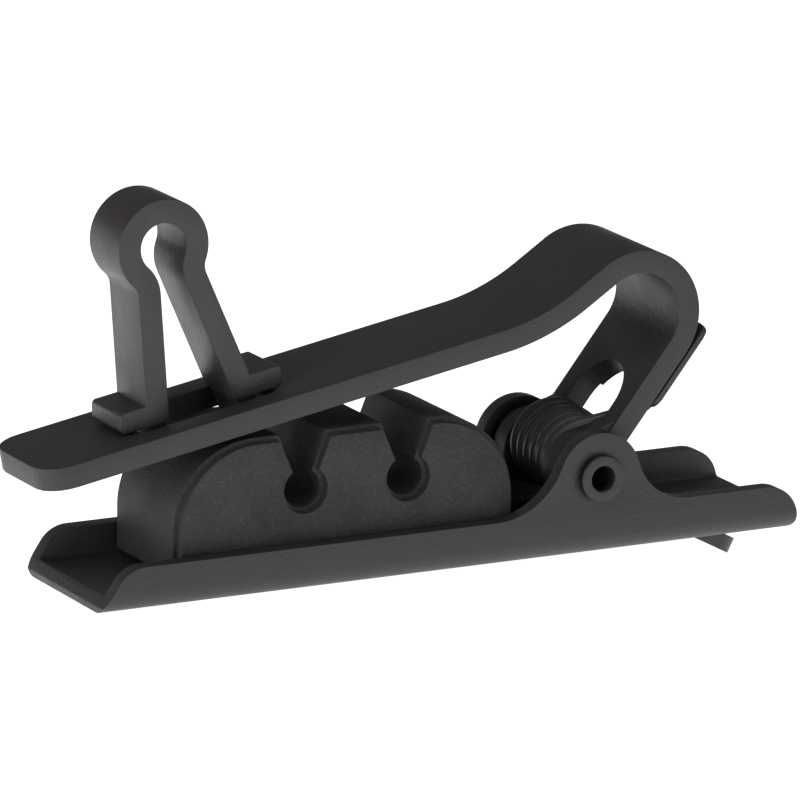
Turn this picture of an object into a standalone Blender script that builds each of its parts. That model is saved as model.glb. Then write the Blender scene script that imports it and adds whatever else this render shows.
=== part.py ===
"""Spring clip that carries a clip-on microphone on a lapel and holds its cable.

Frame: metres, +Z up. X runs from the open nose of the clip to its tail, Y runs across it
with y = 0 in the middle, and z = 0 is the flat underside of the base. The dimensions below
are measured from the front edge of the base; the origin lies DATUM_X behind that edge.
"""
import math

import bmesh
import bpy
from mathutils import Matrix, Vector

MM = 0.001

# ---- driving dimensions, in millimetres ----
DATUM_X = 13.7               # the origin, midway between the two studs of the cable block
BASE_LENGTH = 39.3
BASE_WIDTH = 9.44
SHEET = 0.85                 # base channel metal
BEND_RADIUS = 1.05            # outside of the bend between floor and walls
WALL_FRONT = 2.32            # wall height in front of the ears
WALL_TAIL = 2.45             # wall height behind the ears
NOSE_SETBACK = 1.35          # the walls lean back from the front edge by this much
FRONT_FILLET = 4.0           # hollow curve from the front wall up to the ear
TAIL_FILLET = 3.0            # hollow curve from the ear down to the tail wall
TAIL_CORNER = 1.8

PIVOT = (27.77, 4.07)        # x, z of the hinge pin
EAR_RADIUS = 2.3
PIN_RADIUS = 0.88
PIN_BORE = 0.66
PIN_HOLE = 1.08
RIVET_RADIUS = 1.2
RIVET_THICKNESS = 0.22

JAW_WIDTH = 6.8
JAW_SHEET = 1.15
JAW_SLOPE = math.radians(10.3)
JAW_TOP_START = (-2.6, 7.30)     # top face at the nose
JAW_HOLLOW_X = 25.2              # where the flat part and the rise to the crest would meet
JAW_RISE = math.radians(37.2)
JAW_HOLLOW_RADIUS = 12.0
CREST_CENTRE = (30.61, 11.82)
CREST_RADIUS = 3.47               # outside of the finger bend
LEG_SLOPE = math.radians(51.8)
NOSE_CORNER = 1.6
JAW_EAR_RADIUS = 1.95
JAW_EAR_THICKNESS = 1.15
WINDOW_HALF = 2.08               # half the width of the window in the leg
WINDOW_ARCH = 3.71               # arch centre, measured up the leg from the pin

LOOP_CENTRE = (4.66, 17.69)
LOOP_RADIUS = 1.86               # middle of the strip in the ring
LOOP_STRIP = 1.22
LOOP_WIDTH = 3.45
LOOP_TILT = math.radians(14.0)   # the loop leans over the nose
LOOP_SPLAY = math.radians(9.8)  # each leg's angle to the loop's own axis
LOOP_NECK_OFFSET = 0.937         # distance of a leg's middle line from the ring centre
LOOP_NECK_RADIUS = 1.5
FOOT_THICKNESS = 1.08
FOOT_FRONT_X = 2.3
FOOT_REAR_X = 11.2
HOLE_FRONT_X = 3.3
HOLE_REAR_X = 10.9
HOLE_HALF = 1.85
HOOK_DROPS = (0.5, 0.16)         # front and rear
HOOK_REACH = 0.7

BLOCK_FRONT = 4.42
BLOCK_REAR = 23.45
BLOCK_TOP = 7.87
BLOCK_CORNER = 4.5
BLOCK_HALF = 3.7
CHEEK_DEPTH = 0.45               # raised side faces of the block
CHEEK_INSET = 0.25
BORE_CENTRES = (11.6, 17.35)
BORE_HEIGHT = 4.98
BORE_RADIUS = 1.0
BORE_STEP = 0.22                 # the slots are this much wider in the cheeks
NECK_HALF = 0.55
MOUTH_HALF = 1.3
STUD_INSET = 3.0                 # from each end of the block
STUD_RADIUS = 0.85

WIRE_RADIUS = 0.31
COIL_RADIUS = 1.98                # middle of the wire
COIL_NEAR = (28.4, 4.15)         # the coil leans: its two ends have different centres
COIL_FAR = (28.2, 4.6)
COIL_TURNS = 5
COIL_PITCH = 0.63
COIL_STEPS = 18                  # points per turn
ARM_UP = math.radians(8.0)
ARM_DOWN = math.radians(8.5)
ARM_REACH = 8.3                  # how far up the leg the wire lies

PLATE_SHEET = 0.28
PLATE_LOW = 4.6                  # measured up the leg from the pin
PLATE_HIGH = 9.6
TONGUE_ROOT = 33.8
TONGUE_DROP = math.radians(28.0)
TONGUE_LENGTH = 4.6
TONGUE_HALF = 1.45
TONGUE_TAPER = 0.09
TONGUE_TIP_STEPS = (1.2, 0.9, 0.6, 0.35, 0.15, 0.0)
TONGUE_TIP_FLAT = 0.12

FIT_GAP = 0.15               # between pieces that touch
PLATE_GAP = 0.1              # between the leg, its plate and the spring's arm

LEG_DIR = (math.cos(LEG_SLOPE), math.sin(LEG_SLOPE))
LEG_BACK = (math.sin(LEG_SLOPE), -math.cos(LEG_SLOPE))


# ---- outline helpers: every outline is a list of (u, v) points in millimetres ----
def arc(centre, radius, start, end, step=math.radians(15)):
    """Points on a circle from the start angle to the end angle."""
    count = max(2, math.ceil(abs(end - start) / step))
    points = []
    for i in range(count + 1):
        angle = start + (end - start) * i / count
        points.append((centre[0] + radius * math.cos(angle), centre[1] + radius * math.sin(angle)))
    return points


def rounded(corners, closed=True, step=math.radians(18)):
    """Replace each (u, v, radius) corner by an arc of that radius."""
    points = []
    count = len(corners)
    for i, (u, v, radius) in enumerate(corners):
        at_end = not closed and i in (0, count - 1)
        if radius == 0 or at_end:
            points.append((u, v))
            continue
        here = Vector((u, v))
        to_last = (Vector(corners[i - 1][:2]) - here).normalized()
        to_next = (Vector(corners[(i + 1) % count][:2]) - here).normalized()
        half = to_last.angle(to_next) / 2
        centre = here + (to_last + to_next).normalized() * radius / math.sin(half)
        first = here + to_last * radius / math.tan(half) - centre
        last = here + to_next * radius / math.tan(half) - centre
        start = math.atan2(first.y, first.x)
        sweep = (math.atan2(last.y, last.x) - start + math.pi) % (2 * math.pi) - math.pi
        points += arc(centre, radius, start, start + sweep, step)
    return points


def offset_path(path, distance):
    """Shift an open path sideways, to its left for a positive distance."""
    shifted = []
    for i, point in enumerate(path):
        before = Vector(path[max(i - 1, 0)])
        after = Vector(path[min(i + 1, len(path) - 1)])
        here = Vector(point)
        parts = [d.normalized() for d in (here - before, after - here) if d.length > 1e-9]
        normals = [Vector((-d.y, d.x)) for d in parts]
        normal = sum(normals, Vector((0, 0))).normalized()
        stretch = 1 / max(normal.dot(normals[0]), 0.5)
        shifted.append(tuple(here + normal * distance * stretch))
    return shifted


def up_leg(along, back):
    """A point given by its distance up the leg from the pin, and behind the pin."""
    return (PIVOT[0] + along * LEG_DIR[0] + back * LEG_BACK[0],
            PIVOT[1] + along * LEG_DIR[1] + back * LEG_BACK[1])


# ---- mesh helpers ----
def make_object(name, mesh_builder, material):
    mesh = bpy.data.meshes.new(name)
    bm = bmesh.new()
    mesh_builder(bm)
    bmesh.ops.recalc_face_normals(bm, faces=bm.faces)
    bm.to_mesh(mesh)
    bm.free()
    item = bpy.data.objects.new(name, mesh)
    bpy.context.collection.objects.link(item)
    if material:
        mesh.materials.append(material)
    mesh.shade_smooth()
    mesh.set_sharp_from_angle(angle=math.radians(28))
    return item


def place(axis, u, v, w):
    """Put an outline point (u, v) at distance w along the extrusion axis."""
    order = {"X": (w, u, v), "Y": (u, w, v), "Z": (u, v, w)}
    return Vector(order[axis]) * MM


def prism(name, outline, axis, low, high, material=None):
    """Extrude a closed outline along an axis."""
    def build(bm):
        ends = []
        for level in (low, high):
            ring = [bm.verts.new(place(axis, u, v, level)) for u, v in outline]
            ends.append(ring)
            bm.faces.new(ring)
        for i in range(len(outline)):
            j = (i + 1) % len(outline)
            bm.faces.new((ends[0][i], ends[0][j], ends[1][j], ends[1][i]))
    return make_object(name, build, material)


def ribbon(name, path, thickness, half_width, material=None):
    """A flat strip along an (x, z) path; half_width gives its half width at each station."""
    left = offset_path(path, thickness / 2)
    right = offset_path(path, -thickness / 2)
    travelled = 0.0
    stations = []
    for i, point in enumerate(path):
        if i:
            travelled += math.dist(point, path[i - 1])
        stations.append((left[i], right[i], half_width(travelled)))

    def build(bm):
        rings = []
        for top, bottom, half in stations:
            spots = ((top, -half), (top, half), (bottom, half), (bottom, -half))
            rings.append([bm.verts.new(place("Y", *p, y)) for p, y in spots])
        bm.faces.new(rings[0])
        bm.faces.new(rings[-1])
        for here, there in zip(rings, rings[1:]):
            for k in range(4):
                n = (k + 1) % 4
                bm.faces.new((here[k], here[n], there[n], there[k]))
    return make_object(name, build, material)


def tube(name, route, radius, sides, material):
    """A round wire along a list of 3D points, closed at both ends."""
    def build(bm):
        rings = []
        side = Vector((0, 1, 0))
        for i, point in enumerate(route):
            ahead = route[min(i + 1, len(route) - 1)] - route[max(i - 1, 0)]
            ahead.normalize()
            side = (side - ahead * side.dot(ahead)).normalized()
            up = ahead.cross(side)
            ring = []
            for k in range(sides):
                angle = 2 * math.pi * k / sides
                spot = point + (side * math.cos(angle) + up * math.sin(angle)) * radius
                ring.append(bm.verts.new(spot * MM))
            rings.append(ring)
        bm.faces.new(rings[0])
        bm.faces.new(rings[-1])
        for here, there in zip(rings, rings[1:]):
            for k in range(sides):
                n = (k + 1) % sides
                bm.faces.new((here[k], here[n], there[n], there[k]))
    return make_object(name, build, material)


def disc(name, centre, radius, low, high, sides=32, material=None):
    """A round bar along Y."""
    outline = arc(centre, radius, 0, 2 * math.pi, 2 * math.pi / sides)[:-1]
    return prism(name, outline, "Y", low, high, material)


def combine(target, other, operation):
    """Union, difference or intersection with a helper solid, which is hidden."""
    other.hide_render = True
    other.display_type = "WIRE"
    step = target.modifiers.new(other.name, "BOOLEAN")
    step.operation = operation
    step.solver = "EXACT"
    step.object = other


def soften(target, width, segments=1):
    """Break the sharp edges, as tumbling and painting do."""
    edge = target.modifiers.new("edges", "BEVEL")
    edge.width = width * MM
    edge.segments = segments
    edge.limit_method = "ANGLE"
    edge.angle_limit = math.radians(40)


def set_origin(item, x, z):
    """Move an object's origin to a point of the middle plane, leaving its mesh in place."""
    origin = Vector((x, 0, z)) * MM
    item.data.transform(Matrix.Translation(-origin))
    item.location = origin


def finish(name, colour, roughness, metallic):
    material = bpy.data.materials.new(name)
    material.use_nodes = True
    shader = material.node_tree.nodes["Principled BSDF"]
    shader.inputs["Base Color"].default_value = (*colour, 1)
    shader.inputs["Roughness"].default_value = roughness
    shader.inputs["Metallic"].default_value = metallic
    return material


# ---- base channel ----
def channel_section():
    """The U shape of the base, in (y, z); the walls start far taller than needed."""
    half = BASE_WIDTH / 2
    tall = 8.0
    inner = BEND_RADIUS - SHEET
    return rounded([
        (-half, tall, 0), (-half, 0, BEND_RADIUS), (half, 0, BEND_RADIUS), (half, tall, 0),
        (half - SHEET, tall, 0), (half - SHEET, SHEET, inner),
        (SHEET - half, SHEET, inner), (SHEET - half, tall, 0)])


def channel_profile():
    """The side view of the walls, in (x, z), from the nose over the ear to the tail."""
    px, pz = PIVOT
    front_rise = WALL_FRONT + FRONT_FILLET - pz
    front = (px - math.sqrt((FRONT_FILLET + EAR_RADIUS) ** 2 - front_rise ** 2),
             WALL_FRONT + FRONT_FILLET)
    tail_rise = WALL_TAIL + TAIL_FILLET - pz
    tail = (px + math.sqrt((TAIL_FILLET + EAR_RADIUS) ** 2 - tail_rise ** 2),
            WALL_TAIL + TAIL_FILLET)
    to_front = math.atan2(front[1] - pz, front[0] - px)
    to_tail = math.atan2(tail[1] - pz, tail[0] - px)
    below = -0.02
    nose = rounded([(0.0, -1.0, 0), (0.0, 0.3, 0.25), (NOSE_SETBACK, WALL_FRONT, 1.7),
                    (front[0], WALL_FRONT, 0)], closed=False)
    end = rounded([(tail[0], WALL_TAIL, 0), (BASE_LENGTH, WALL_TAIL, TAIL_CORNER),
                   (BASE_LENGTH, below, 0.5), (BASE_LENGTH - 1, below, 0),
                   (BASE_LENGTH - 1, -1.0, 0)], closed=False)
    up_curve = arc(front, FRONT_FILLET, -math.pi / 2, to_front - math.pi)
    ear = arc(PIVOT, EAR_RADIUS, to_front, to_tail, math.radians(12))
    down_curve = arc(tail, TAIL_FILLET, to_tail + math.pi, 3 * math.pi / 2)
    return nose[:-1] + up_curve + ear[1:-1] + down_curve + end[1:]


def base_channel(material):
    base = prism("base_channel", channel_section(), "X", -1.0, BASE_LENGTH + 1.0, material)
    combine(base, prism("channel_side_view", channel_profile(), "Y", -6, 6), "INTERSECT")
    combine(base, disc("base_pin_holes", PIVOT, PIN_HOLE, -6, 6, 24), "DIFFERENCE")
    slot_end = TONGUE_ROOT + TONGUE_LENGTH + 0.35
    slot_half = TONGUE_HALF + 0.25
    slot = rounded([(TONGUE_ROOT + 0.15, -slot_half, 0), (slot_end, -slot_half, 1.1),
                    (slot_end, slot_half, 1.1), (TONGUE_ROOT + 0.15, slot_half, 0)])
    combine(base, prism("tongue_slot", slot, "Z", -1, 1.6), "DIFFERENCE")
    for x in (BLOCK_FRONT + STUD_INSET, BLOCK_REAR - STUD_INSET):
        stud = arc((x, 0), STUD_RADIUS + FIT_GAP, 0, 2 * math.pi, math.radians(20))[:-1]
        combine(base, prism(f"stud_hole_{x:.0f}", stud, "Z", -1, 1.6), "DIFFERENCE")
    combine(base, tongue(), "UNION")
    soften(base, 0.12)
    return base


def tongue():
    """The lanced tongue that bends down out of the tail floor."""
    middle = SHEET / 2
    tip = (TONGUE_ROOT + TONGUE_LENGTH * math.cos(TONGUE_DROP),
           middle - TONGUE_LENGTH * math.sin(TONGUE_DROP))
    path = rounded([(TONGUE_ROOT - 0.6, middle, 0), (TONGUE_ROOT, middle, 0.9), (*tip, 0)],
                   closed=False, step=math.radians(10))[:-1]
    along = Vector((math.cos(TONGUE_DROP), -math.sin(TONGUE_DROP)))
    path += [tuple(Vector(tip) - along * back) for back in TONGUE_TIP_STEPS]
    total = sum(math.dist(a, b) for a, b in zip(path, path[1:]))

    def half_width(s):
        left = min(total - s, TONGUE_TIP_STEPS[0])
        bulge = 1 - (1 - left / TONGUE_TIP_STEPS[0]) ** 2
        return (TONGUE_HALF - TONGUE_TAPER * s) * math.sqrt(max(bulge, TONGUE_TIP_FLAT))
    return ribbon("tongue_shape", path, SHEET - 0.02, half_width)


# ---- cable block ----
def dome(inset):
    """Outline of the block in (x, z), pulled in all round by the inset."""
    floor = SHEET + FIT_GAP
    corner = BLOCK_CORNER - inset
    low = floor + inset * 0.5
    return rounded([
        (BLOCK_FRONT + inset, low, 0.3), (BLOCK_FRONT + inset, BLOCK_TOP - inset, corner),
        (BLOCK_REAR - inset, BLOCK_TOP - inset, corner), (BLOCK_REAR - inset, low, 0.3)],
        step=math.radians(10))


def keyhole(x, extra):
    """Cable slot in (x, z): a round bore that opens through a neck into a flared mouth."""
    radius = BORE_RADIUS + extra
    neck = NECK_HALF + extra * 0.8
    half_opening = math.asin(neck / radius)
    bore = arc((x, BORE_HEIGHT), radius, math.pi / 2 + half_opening,
               5 * math.pi / 2 - half_opening, math.radians(18))
    neck_height = BORE_HEIGHT + radius * math.cos(half_opening)
    flare = (MOUTH_HALF - NECK_HALF) / (BLOCK_TOP - neck_height)
    over = 0.6
    wide = MOUTH_HALF + extra + flare * over
    return bore + [(x + wide, BLOCK_TOP + over), (x - wide, BLOCK_TOP + over)]


def cable_block(material):
    core_half = BLOCK_HALF - CHEEK_DEPTH
    block = prism("cable_block", dome(0.0), "Y", -core_half, core_half, material)
    cheeks = prism("block_cheeks", dome(CHEEK_INSET), "Y", -BLOCK_HALF, BLOCK_HALF)
    combine(block, cheeks, "UNION")
    for number, x in enumerate(BORE_CENTRES, 1):
        combine(block, prism(f"cable_way_{number}", keyhole(x, 0.0), "Y", -5, 5), "DIFFERENCE")
        for side in (-1, 1):
            low, high = sorted((side * core_half, side * 5))
            wide = prism(f"cable_way_{number}_{side}", keyhole(x, BORE_STEP), "Y", low, high)
            combine(block, wide, "DIFFERENCE")
    for x in (BLOCK_FRONT + STUD_INSET, BLOCK_REAR - STUD_INSET):
        stud = arc((x, 0), STUD_RADIUS, 0, 2 * math.pi, math.radians(20))[:-1]
        combine(block, prism(f"block_stud_{x:.0f}", stud, "Z", 0.05, 2.0), "UNION")
    soften(block, 0.12)
    return block


# ---- jaw ----
def jaw_top_z(x):
    """Height of the jaw's flat top face at x."""
    return JAW_TOP_START[1] + (x - JAW_TOP_START[0]) * math.tan(JAW_SLOPE)


def jaw_path():
    """Middle of the strip in (x, z), from the nose to the pin."""
    half = JAW_SHEET / 2
    down = Vector((math.sin(JAW_SLOPE), -math.cos(JAW_SLOPE))) * half
    nose = Vector(JAW_TOP_START) + down
    hollow = Vector((JAW_HOLLOW_X, jaw_top_z(JAW_HOLLOW_X))) + down
    middle = CREST_RADIUS - half
    start = JAW_RISE + math.pi / 2
    end = LEG_SLOPE - math.pi / 2
    crest = arc(CREST_CENTRE, middle, start, end, math.radians(12))
    corner = (nose.x, nose.y, 0), (hollow.x, hollow.y, JAW_HOLLOW_RADIUS), (*crest[0], 0)
    front = rounded(corner, closed=False, step=math.radians(5))
    steps = [0.12, 0.3, 0.55, 0.85, 1.2, NOSE_CORNER]
    along = Vector((math.cos(JAW_SLOPE), math.sin(JAW_SLOPE)))
    tip = [tuple(nose + along * s) for s in steps]
    back_of_pin = leg_middle()
    return [tuple(nose)] + tip + front[1:-1] + crest + [up_leg(0.6, back_of_pin)]


def leg_middle():
    """How far behind the pin the middle of the straight leg runs."""
    reach = Vector(CREST_CENTRE) - Vector(PIVOT)
    return reach.dot(Vector(LEG_BACK)) + CREST_RADIUS - JAW_SHEET / 2


def jaw_half_width(s):
    half = JAW_WIDTH / 2
    if s >= NOSE_CORNER:
        return half
    inside = NOSE_CORNER - s
    return half - NOSE_CORNER + math.sqrt(NOSE_CORNER ** 2 - inside ** 2)


def window_cutter(name, grow):
    """Arch-topped window, cut square to the leg; it can be cut a little larger all round."""
    half = WINDOW_HALF + grow
    arch = arc((0, WINDOW_ARCH), half, 0, math.pi)
    cutter = prism(name, [(half, -3.2)] + arch + [(-half, -3.2)], "X", -2.6, 3.0)
    turn = Matrix((
        (LEG_BACK[0], 0, LEG_DIR[0], PIVOT[0] * MM),
        (0, 1, 0, 0),
        (LEG_BACK[1], 0, LEG_DIR[1], PIVOT[1] * MM),
        (0, 0, 0, 1)))
    cutter.data.transform(turn)
    return cutter


def jaw(material):
    item = ribbon("jaw", jaw_path(), JAW_SHEET, jaw_half_width, material)
    middle = leg_middle()
    for side in (-1, 1):
        low, high = sorted((side * WINDOW_HALF, side * (WINDOW_HALF + JAW_EAR_THICKNESS)))
        web = [up_leg(3.2, middle - 0.4), up_leg(3.2, middle + 0.4)]
        start = LEG_SLOPE + math.radians(35)
        ear = arc(PIVOT, JAW_EAR_RADIUS, start, start + math.radians(290), math.radians(15))
        combine(item, prism(f"jaw_ear_{side}", ear + web[::-1], "Y", low, high), "UNION")
    combine(item, window_cutter("leg_window", 0.0), "DIFFERENCE")
    combine(item, disc("jaw_pin_holes", PIVOT, PIN_HOLE, -6, 6, 24), "DIFFERENCE")
    hole = rounded([(HOLE_FRONT_X, -HOLE_HALF, 0.4), (HOLE_REAR_X, -HOLE_HALF, 0.4),
                    (HOLE_REAR_X, HOLE_HALF, 0.4), (HOLE_FRONT_X, HOLE_HALF, 0.4)])
    combine(item, prism("loop_hole", hole, "Z", 4, 11), "DIFFERENCE")
    soften(item, 0.14)
    set_origin(item, *PIVOT)
    return item


def leg_plate(material):
    """Thin plate on the back of the leg, with an arch that clears the window."""
    back = leg_middle() + JAW_SHEET / 2 + PLATE_GAP + PLATE_SHEET / 2
    rise = [0.0, 0.12, 0.3, 0.6, PLATE_HIGH - PLATE_LOW - 0.6, PLATE_HIGH - PLATE_LOW - 0.3,
            PLATE_HIGH - PLATE_LOW - 0.12, PLATE_HIGH - PLATE_LOW]
    path = [up_leg(PLATE_LOW + s, back) for s in rise]
    corner = 0.6
    total = PLATE_HIGH - PLATE_LOW

    def half_width(s):
        edge = max(min(s, total - s), 0)
        if edge >= corner:
            return JAW_WIDTH / 2
        return JAW_WIDTH / 2 - corner + math.sqrt(corner ** 2 - (corner - edge) ** 2)
    plate = ribbon("leg_plate", path, PLATE_SHEET, half_width, material)
    combine(plate, window_cutter("plate_arch", 0.35), "DIFFERENCE")
    set_origin(plate, *PIVOT)
    return plate


# ---- microphone loop ----
def loop_point(along, across):
    """Loop frame to (x, z): along runs from the ring centre down the loop's axis."""
    sin, cos = math.sin(LOOP_TILT), math.cos(LOOP_TILT)
    return (LOOP_CENTRE[0] + along * sin + across * cos,
            LOOP_CENTRE[1] - along * cos + across * sin)


def loop_side(thickness, side):
    """One side of the ring and leg in (x, z), from the top of the ring to the foot's level."""
    radius = LOOP_RADIUS + thickness
    neck = LOOP_NECK_RADIUS - thickness
    reach = radius + neck
    sideways = LOOP_NECK_OFFSET + LOOP_NECK_RADIUS
    down = math.sqrt(reach ** 2 - sideways ** 2)
    cos, sin = math.cos(LOOP_SPLAY), math.sin(LOOP_SPLAY)
    centre = (down * cos - sideways * sin, down * sin + sideways * cos)
    meet = math.atan2(centre[1], centre[0])
    ring = arc((0, 0), radius, math.pi, meet, math.radians(15))
    bend = arc(centre, neck, meet - math.pi, LOOP_SPLAY - math.pi / 2, math.radians(15))
    path = ring + bend[1:]
    return [loop_point(a, c * side) for a, c in path]


def leg_at_height(side, thickness, lift):
    """Where a leg's face crosses a line parallel to the jaw's top, lifted above it."""
    end = loop_side(thickness, side)[-1]
    angle = LOOP_TILT + side * LOOP_SPLAY
    step = (math.sin(angle), -math.cos(angle))
    drop = end[1] - jaw_top_z(end[0]) - lift
    travel = drop / (math.tan(JAW_SLOPE) * step[0] - step[1])
    return (end[0] + step[0] * travel, end[1] + step[1] * travel)


def on_jaw(x, lift):
    return (x, jaw_top_z(x) + lift)


def loop_outline(hooks):
    """Closed outline of the loop; with hooks it is the narrower part through the jaw."""
    half = LOOP_STRIP / 2
    low = FIT_GAP
    high = FIT_GAP + FOOT_THICKNESS
    under = -JAW_SHEET / math.cos(JAW_SLOPE) - FIT_GAP
    outline = []
    for side, foot_x, drop in ((-1, FOOT_FRONT_X, HOOK_DROPS[0]), (1, FOOT_REAR_X, HOOK_DROPS[1])):
        inner = loop_side(-half, side)
        outer = loop_side(half, side)
        if hooks:
            thin = half - 0.1
            inner = [leg_at_height(side, -thin, 0.9)]
            outer = [leg_at_height(side, thin, 0.9)]
            reach = leg_at_height(side, thin, under)[0] + side * HOOK_REACH
            foot = [leg_at_height(side, thin, under), on_jaw(reach, under),
                    on_jaw(reach, under - drop),
                    leg_at_height(side, -thin, under - drop)]
        else:
            crease = leg_at_height(side, half, high)
            tips = rounded([(*crease, 0), (*on_jaw(foot_x, high), 0.25),
                            (*on_jaw(foot_x, low), 0.25),
                            (*leg_at_height(side, -half, low), 0)], closed=False)
            foot = tips
        outline.append((inner, outer, foot))
    (left_in, left_out, left_foot), (right_in, right_out, right_foot) = outline
    if hooks:
        return [left_in + left_foot[::-1] + left_out[::-1],
                right_in + right_foot[::-1] + right_out[::-1]]
    return (left_out + left_foot + left_in[::-1] + right_in[1:] + right_foot[::-1]
            + right_out[::-1][:-1])


def mic_loop(material):
    half = LOOP_WIDTH / 2
    item = prism("mic_loop", loop_outline(False), "Y", -half, half, material)
    for name, outline in zip(("front", "rear"), loop_outline(True)):
        hook = prism(f"loop_hook_{name}", outline, "Y", -half + 0.2, half - 0.2)
        combine(item, hook, "UNION")
    soften(item, 0.16)
    return item


# ---- pin and spring ----
def pivot_pin(material):
    """Tubular rivet: a hollow shank with a flared rim outside each ear."""
    outside = BASE_WIDTH / 2 + FIT_GAP
    end = outside + RIVET_THICKNESS
    pin = disc("pivot_pin", PIVOT, PIN_RADIUS, -end + 0.05, end - 0.05, 24, material)
    for side in (-1, 1):
        low, high = sorted((side * outside, side * end))
        combine(pin, disc(f"rivet_rim_{side}", PIVOT, RIVET_RADIUS, low, high, 32), "UNION")
    combine(pin, disc("rivet_bore", PIVOT, PIN_BORE, -7, 7, 20), "DIFFERENCE")
    soften(pin, 0.07)
    set_origin(pin, *PIVOT)
    return pin


def spring_route():
    """Middle line of the wire: down the leg's back, into the coil, and out to the tail floor."""
    first = math.pi / 2 + ARM_UP
    last = 3 * math.pi / 2 - ARM_DOWN + 2 * math.pi * COIL_TURNS
    turns = (last - first) / (2 * math.pi)
    width = turns * COIL_PITCH
    steps = math.ceil(turns * COIL_STEPS)
    coil = []
    for i in range(steps + 1):
        share = i / steps
        angle = first + (last - first) * share
        x = COIL_NEAR[0] + (COIL_FAR[0] - COIL_NEAR[0]) * share + COIL_RADIUS * math.cos(angle)
        z = COIL_NEAR[1] + (COIL_FAR[1] - COIL_NEAR[1]) * share + COIL_RADIUS * math.sin(angle)
        coil.append(Vector((x, width * (share - 0.5), z)))
    back = leg_middle() + JAW_SHEET / 2 + 2 * PLATE_GAP + PLATE_SHEET + WIRE_RADIUS
    leave = Vector((coil[0].x, coil[0].z))
    heading = Vector((math.cos(ARM_UP), math.sin(ARM_UP)))
    gap = back - (leave - Vector(PIVOT)).dot(Vector(LEG_BACK))
    corner = leave + heading * gap / heading.dot(Vector(LEG_BACK))
    upper = rounded([(*up_leg(ARM_REACH, back), 0), (*corner, 1.0), (*leave, 0)], closed=False,
                    step=math.radians(12))
    route = [Vector((x, coil[0].y, z)) for x, z in upper[:-1]] + coil
    run = TONGUE_ROOT - 0.6 - coil[-1].x
    foot = Vector((coil[-1].x + run, coil[-1].y, coil[-1].z - run * math.tan(ARM_DOWN)))
    return route + [foot]


def main():
    for item in list(bpy.data.objects):
        bpy.data.objects.remove(item)
    black_coat = finish("black_coat", (0.018, 0.018, 0.019), 0.42, 0.0)
    jaw_coat = finish("jaw_coat", (0.014, 0.014, 0.015), 0.45, 0.0)
    loop_coat = finish("loop_coat", (0.022, 0.021, 0.022), 0.38, 0.0)
    moulded = finish("moulded_black", (0.02, 0.021, 0.021), 0.75, 0.0)
    steel = finish("blackened_steel", (0.03, 0.03, 0.031), 0.3, 0.6)
    base_channel(black_coat)
    cable_block(moulded)
    pivot_pin(steel)
    jaw(jaw_coat)
    leg_plate(jaw_coat)
    mic_loop(loop_coat)
    spring = tube("torsion_spring", spring_route(), WIRE_RADIUS, 8, steel)
    set_origin(spring, *PIVOT)
    for item in bpy.data.objects:
        item.location.x -= DATUM_X * MM


main()
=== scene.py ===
# %% [markdown]
# # A clip that holds a small microphone on a lapel
# The real clip is a folded steel channel with a slotted cable block, a sprung gooseneck
# jaw and a bent strip loop for the microphone. Its shapes and its hinge come from the
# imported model, which is loaded as a fixed frame. This notebook lays a finer piece over
# each part, gives every piece a procedural material, and sets up a camera and soft
# studio light.

# %% Set up
import math

import bmesh
import bpy
from mathutils import Matrix, Vector


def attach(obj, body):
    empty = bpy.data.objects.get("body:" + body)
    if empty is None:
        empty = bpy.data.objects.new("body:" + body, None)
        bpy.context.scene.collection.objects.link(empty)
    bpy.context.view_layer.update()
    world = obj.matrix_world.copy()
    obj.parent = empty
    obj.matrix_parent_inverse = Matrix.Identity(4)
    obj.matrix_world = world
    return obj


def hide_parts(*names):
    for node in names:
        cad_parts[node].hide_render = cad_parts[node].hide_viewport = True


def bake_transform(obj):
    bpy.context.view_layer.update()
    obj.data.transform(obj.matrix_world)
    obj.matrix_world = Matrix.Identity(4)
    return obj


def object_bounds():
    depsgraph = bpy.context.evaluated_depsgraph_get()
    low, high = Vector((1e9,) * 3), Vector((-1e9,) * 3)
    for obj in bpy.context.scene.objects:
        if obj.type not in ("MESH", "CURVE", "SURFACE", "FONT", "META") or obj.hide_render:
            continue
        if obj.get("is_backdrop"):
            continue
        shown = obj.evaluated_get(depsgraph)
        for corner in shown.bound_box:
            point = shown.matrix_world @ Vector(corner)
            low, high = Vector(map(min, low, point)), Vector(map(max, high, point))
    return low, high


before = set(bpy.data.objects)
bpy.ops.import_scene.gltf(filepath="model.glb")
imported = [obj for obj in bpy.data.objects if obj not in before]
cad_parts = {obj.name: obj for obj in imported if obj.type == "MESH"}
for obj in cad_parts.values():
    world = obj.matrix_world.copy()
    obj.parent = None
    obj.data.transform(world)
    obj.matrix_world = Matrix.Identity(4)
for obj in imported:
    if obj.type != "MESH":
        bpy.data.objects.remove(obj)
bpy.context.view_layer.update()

# %% [markdown]
# ## Shared dimensions
# Every length is in millimetres and is measured from the front edge of the base, because
# that is where a maker would lay the ruler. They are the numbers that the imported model
# was made from, so the finer pieces lie exactly where its solids lie. A value that only
# one piece needs stands beside that piece.

# %% Shared dimensions
MM = 0.001                   # metres in a millimetre
FINE = 0.35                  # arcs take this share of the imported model's step
DATUM_X = 13.7               # the origin, midway between the two studs of the cable block
FIT_GAP = 0.15               # between pieces that touch
THROUGH = 6.0                # a sideways cut runs this far each way from the middle

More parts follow.
